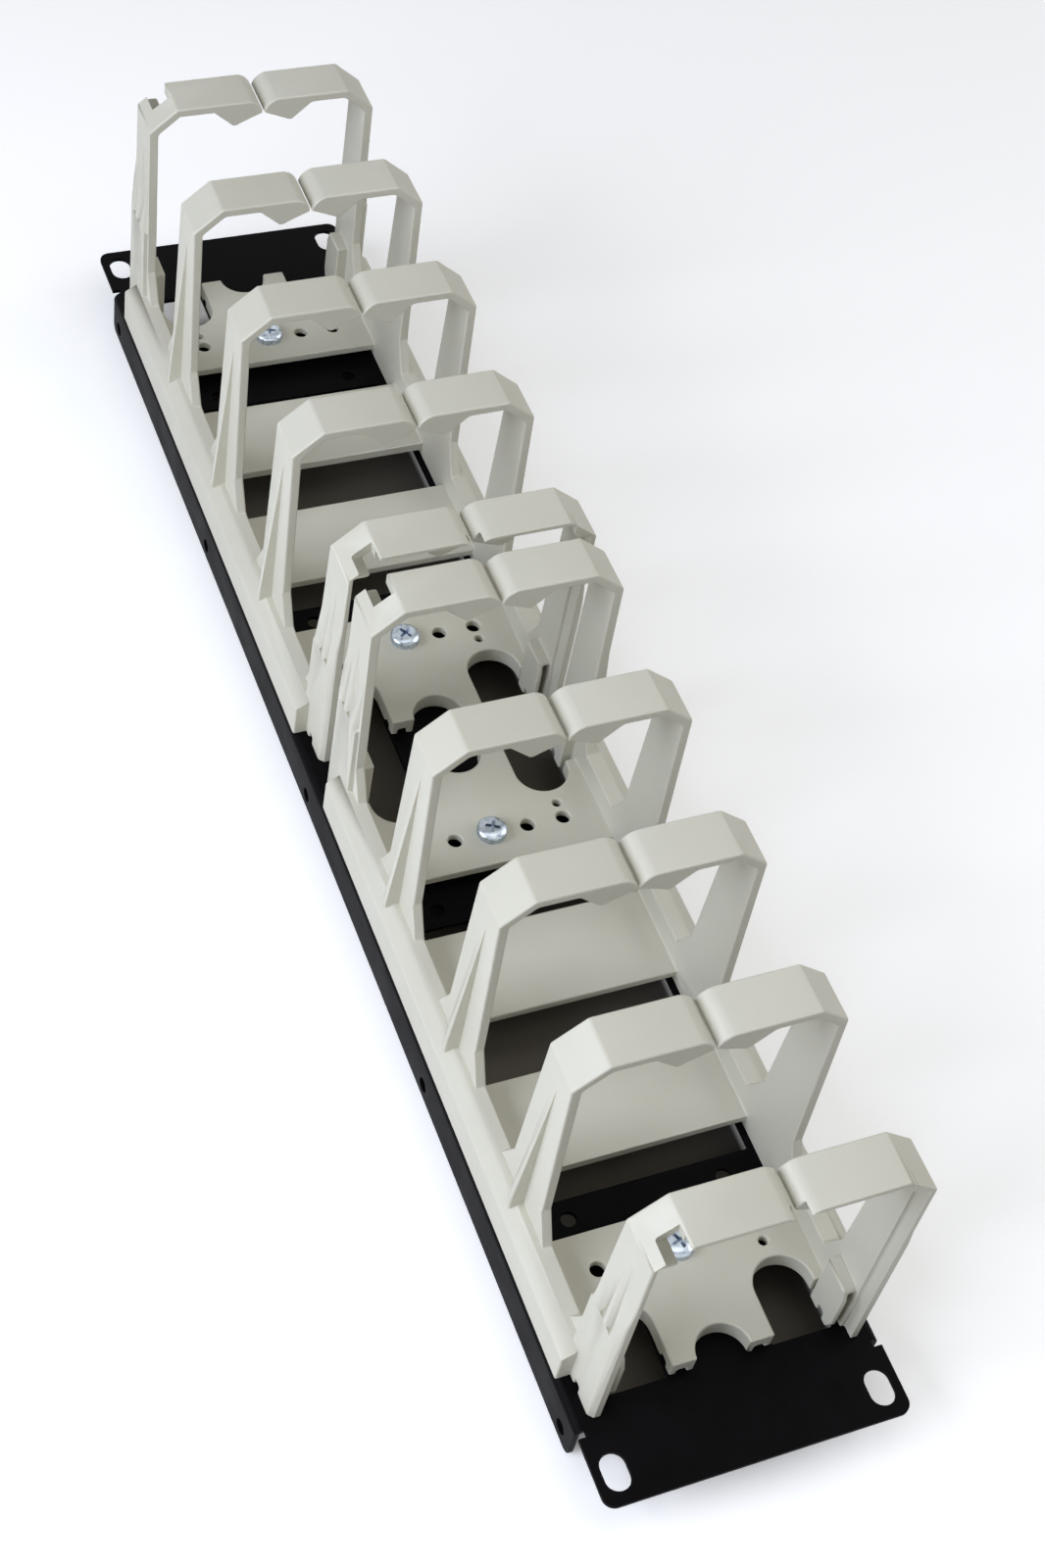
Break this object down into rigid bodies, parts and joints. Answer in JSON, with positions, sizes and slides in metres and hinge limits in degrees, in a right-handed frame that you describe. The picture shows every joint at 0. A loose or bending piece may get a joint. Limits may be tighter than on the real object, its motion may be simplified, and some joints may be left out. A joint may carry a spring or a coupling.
{
  "type": "horizontal cable manager",
  "caption": "Rack-width steel panel with two moulded ring ducts that guide patch cables along the front of a server rack.",
  "frame": {"origin": "middle of the footprint on the rear edges of the panel's two flanges, on which the part lies", "axes": "+X along the rack's width, +Y across the panel's height, +Z out of the front of the panel towards the rings"},
  "size_m": [0.4826, 0.0882, 0.1043],
  "materials": {
    "panel_black": "black powder coat, fine satin",
    "duct_ivory": "ivory moulded plastic, satin, as moulded",
    "screw_zinc": "bright zinc plate, slightly blue"
  },
  "bodies": {
    "root": {"front_panel": "panel_black", "ring_duct_a": "duct_ivory", "ring_duct_b": "duct_ivory", "pan_screw_1": "screw_zinc", "pan_screw_2": "screw_zinc", "pan_screw_3": "screw_zinc", "pan_screw_4": "screw_zinc", "lock_nut_1": "screw_zinc", "lock_nut_2": "screw_zinc", "lock_nut_3": "screw_zinc", "lock_nut_4": "screw_zinc"}
  },
  "joints": []
}
